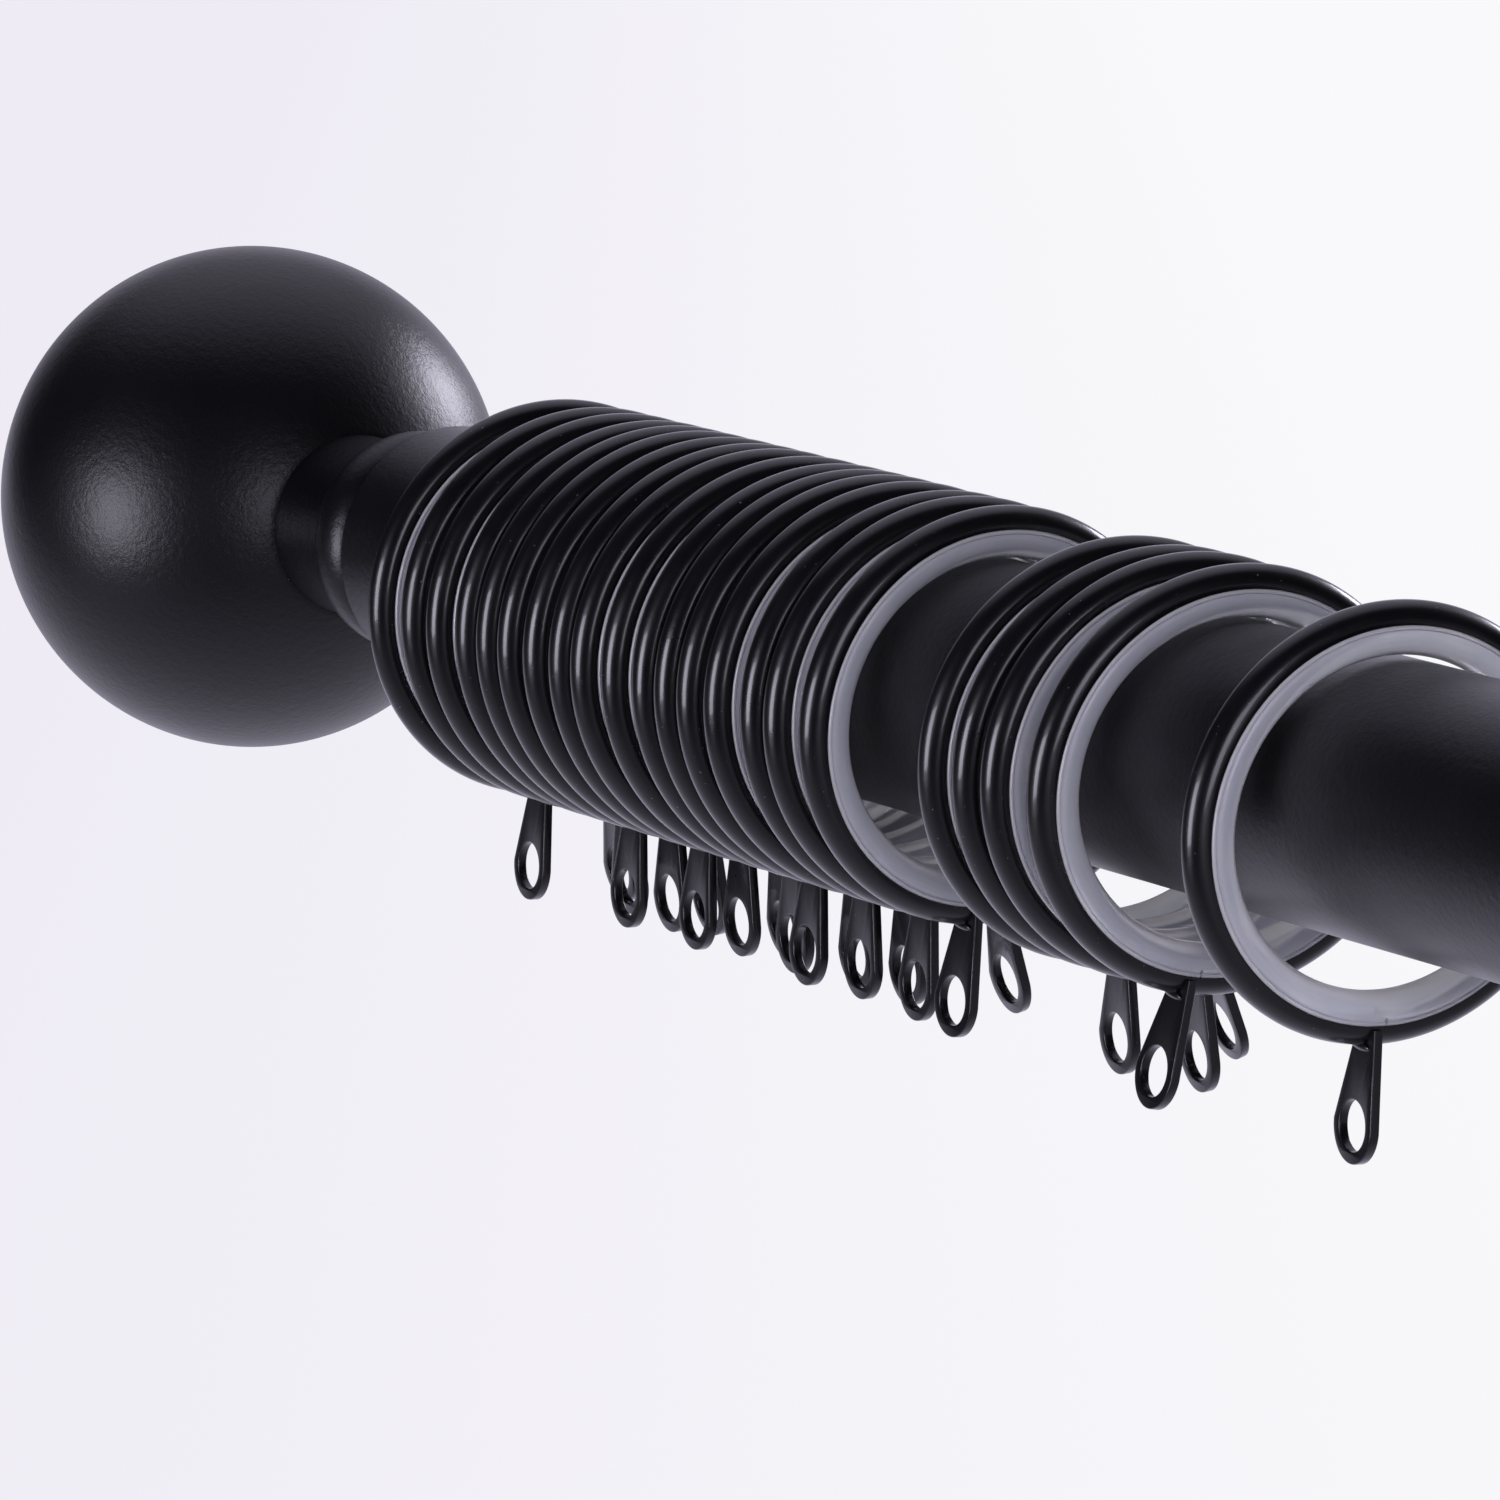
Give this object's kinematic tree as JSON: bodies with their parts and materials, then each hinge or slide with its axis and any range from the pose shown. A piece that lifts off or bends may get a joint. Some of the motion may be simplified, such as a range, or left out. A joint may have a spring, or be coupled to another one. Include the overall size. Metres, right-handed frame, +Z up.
{
  "type": "curtain rod with brackets",
  "caption": "Round curtain pole with ball finials, carried in two wall brackets, with a row of lined metal rings that each have a flat eyelet for a hook.",
  "frame": {"origin": "on the wall, midway between the two brackets and level with the pole's axis", "axes": "+X along the pole, +Y into the wall, +Z up"},
  "size_m": [1.361, 0.119, 0.0661],
  "materials": {
    "black_paint": "matt black powder coat with a fine grain",
    "ring_enamel": "satin black enamel",
    "liner_plastic": "translucent grey-white plastic, smooth",
    "screw_steel": "dark zinc plating"
  },
  "bodies": {
    "rod": {"pole": "black_paint", "finial_ball_left": "black_paint", "finial_ball_right": "black_paint", "finial_neck_left": "black_paint", "finial_neck_right": "black_paint", "finial_stud_left": "screw_steel", "finial_stud_right": "screw_steel", "finial_grub_screws": "screw_steel", "wall_plate_left": "black_paint", "wall_plate_right": "black_paint", "bracket_arm_left": "black_paint", "bracket_arm_right": "black_paint", "bracket_cup_left": "black_paint", "bracket_cup_right": "black_paint", "cup_screws": "screw_steel", "cup_grub_screws": "screw_steel"},
    "ring_01_body": {"ring_01": "ring_enamel", "liner_01": "liner_plastic"},
    "ring_02_body": {"ring_02": "ring_enamel", "liner_02": "liner_plastic"},
    "ring_03_body": {"ring_03": "ring_enamel", "liner_03": "liner_plastic"},
    "ring_04_body": {"ring_04": "ring_enamel", "liner_04": "liner_plastic"},
    "ring_05_body": {"ring_05": "ring_enamel", "liner_05": "liner_plastic"},
    "ring_06_body": {"ring_06": "ring_enamel", "liner_06": "liner_plastic"},
    "ring_07_body": {"ring_07": "ring_enamel", "liner_07": "liner_plastic"},
    "ring_08_body": {"ring_08": "ring_enamel", "liner_08": "liner_plastic"},
    "ring_09_body": {"ring_09": "ring_enamel", "liner_09": "liner_plastic"},
    "ring_10_body": {"ring_10": "ring_enamel", "liner_10": "liner_plastic"},
    "ring_11_body": {"ring_11": "ring_enamel", "liner_11": "liner_plastic"},
    "ring_12_body": {"ring_12": "ring_enamel", "liner_12": "liner_plastic"},
    "ring_13_body": {"ring_13": "ring_enamel", "liner_13": "liner_plastic"},
    "ring_14_body": {"ring_14": "ring_enamel", "liner_14": "liner_plastic"},
    "ring_15_body": {"ring_15": "ring_enamel", "liner_15": "liner_plastic"},
    "ring_16_body": {"ring_16": "ring_enamel", "liner_16": "liner_plastic"},
    "ring_17_body": {"ring_17": "ring_enamel", "liner_17": "liner_plastic"},
    "liner_18_body": {"liner_18": "liner_plastic"},
    "ring_18_body": {"ring_18": "ring_enamel"},
    "liner_19_body": {"liner_19": "liner_plastic"},
    "ring_19_body": {"ring_19": "ring_enamel"},
    "liner_20_body": {"liner_20": "liner_plastic"},
    "ring_20_body": {"ring_20": "ring_enamel"},
    "liner_21_body": {"liner_21": "liner_plastic"},
    "ring_21_body": {"ring_21": "ring_enamel"},
    "liner_22_body": {"liner_22": "liner_plastic"},
    "ring_22_body": {"ring_22": "ring_enamel"}
  },
  "joints": [
    {"name": "ring_01_slide", "type": "slide", "parent": "rod", "child": "ring_01_body", "axis": [1, 0, 0], "range_m": [-0.018, 0.0038]},
    {"name": "ring_02_slide", "type": "slide", "parent": "ring_01_body", "child": "ring_02_body", "axis": [1, 0, 0], "range_m": [0, 0.0038]},
    {"name": "ring_03_slide", "type": "slide", "parent": "ring_02_body", "child": "ring_03_body", "axis": [1, 0, 0], "range_m": [0, 0.0038]},
    {"name": "ring_04_slide", "type": "slide", "parent": "ring_03_body", "child": "ring_04_body", "axis": [1, 0, 0], "range_m": [0, 0.0038]},
    {"name": "ring_05_slide", "type": "slide", "parent": "ring_04_body", "child": "ring_05_body", "axis": [1, 0, 0], "range_m": [0, 0.0038]},
    {"name": "ring_06_slide", "type": "slide", "parent": "ring_05_body", "child": "ring_06_body", "axis": [1, 0, 0], "range_m": [0, 0.0038]},
    {"name": "ring_07_slide", "type": "slide", "parent": "ring_06_body", "child": "ring_07_body", "axis": [1, 0, 0], "range_m": [0, 0.0038]},
    {"name": "ring_08_slide", "type": "slide", "parent": "ring_07_body", "child": "ring_08_body", "axis": [1, 0, 0], "range_m": [0, 0.0038]},
    {"name": "ring_09_slide", "type": "slide", "parent": "ring_08_body", "child": "ring_09_body", "axis": [1, 0, 0], "range_m": [0, 0.0038]},
    {"name": "ring_10_slide", "type": "slide", "parent": "ring_09_body", "child": "ring_10_body", "axis": [1, 0, 0], "range_m": [0, 0.0038]},
    {"name": "ring_11_slide", "type": "slide", "parent": "ring_10_body", "child": "ring_11_body", "axis": [1, 0, 0], "range_m": [0, 0.0038]},
    {"name": "ring_12_slide", "type": "slide", "parent": "ring_11_body", "child": "ring_12_body", "axis": [1, 0, 0], "range_m": [0, 0.0038]},
    {"name": "ring_13_slide", "type": "slide", "parent": "ring_12_body", "child": "ring_13_body", "axis": [1, 0, 0], "range_m": [0, 0.0038]},
    {"name": "ring_14_slide", "type": "slide", "parent": "ring_13_body", "child": "ring_14_body", "axis": [1, 0, 0], "range_m": [0, 0.0038]},
    {"name": "ring_15_slide", "type": "slide", "parent": "ring_14_body", "child": "ring_15_body", "axis": [1, 0, 0], "range_m": [0, 0.0038]},
    {"name": "ring_16_slide", "type": "slide", "parent": "ring_15_body", "child": "ring_16_body", "axis": [1, 0, 0], "range_m": [0, 0.0038]},
    {"name": "ring_17_slide", "type": "slide", "parent": "ring_16_body", "child": "ring_17_body", "axis": [1, 0, 0], "range_m": [0, 0.0038]},
    {"name": "ring_18_slide", "type": "slide", "parent": "ring_17_body", "child": "liner_18_body", "axis": [1, 0, 0], "range_m": [-0.018, 0.0038]},
    {"name": "ring_18_turn", "type": "hinge", "parent": "liner_18_body", "child": "ring_18_body", "pos_m": [-0.4515, -0.09, -0.0022], "axis": [0.9948, -0.0521, -0.0872], "range_deg": [-5, 5]},
    {"name": "ring_19_slide", "type": "slide", "parent": "liner_18_body", "child": "liner_19_body", "axis": [1, 0, 0], "range_m": [0, 0.0038]},
    {"name": "ring_19_turn", "type": "hinge", "parent": "liner_19_body", "child": "ring_19_body", "pos_m": [-0.4445, -0.09, -0.0022], "axis": [0.9932, -0.052, -0.1045], "range_deg": [-5, 5]},
    {"name": "ring_20_slide", "type": "slide", "parent": "liner_19_body", "child": "liner_20_body", "axis": [1, 0, 0], "range_m": [0, 0.0038]},
    {"name": "ring_20_turn", "type": "hinge", "parent": "liner_20_body", "child": "ring_20_body", "pos_m": [-0.4385, -0.09, -0.0022], "axis": [0.9938, -0.0695, -0.0872], "range_deg": [-5, 5]},
    {"name": "ring_21_slide", "type": "slide", "parent": "liner_20_body", "child": "liner_21_body", "axis": [1, 0, 0], "range_m": [0, 0.0038]},
    {"name": "ring_21_turn", "type": "hinge", "parent": "liner_21_body", "child": "ring_21_body", "pos_m": [-0.4295, -0.09, -0.0022], "axis": [0.9932, -0.052, -0.1045], "range_deg": [-5, 5]},
    {"name": "ring_22_slide", "type": "slide", "parent": "liner_21_body", "child": "liner_22_body", "axis": [1, 0, 0], "range_m": [-0.018, 0.0038]},
    {"name": "ring_22_turn", "type": "hinge", "parent": "liner_22_body", "child": "ring_22_body", "pos_m": [-0.3995, -0.09, -0.0022], "axis": [0.9962, -0.0522, -0.0698], "range_deg": [-60, 60]}
  ]
}
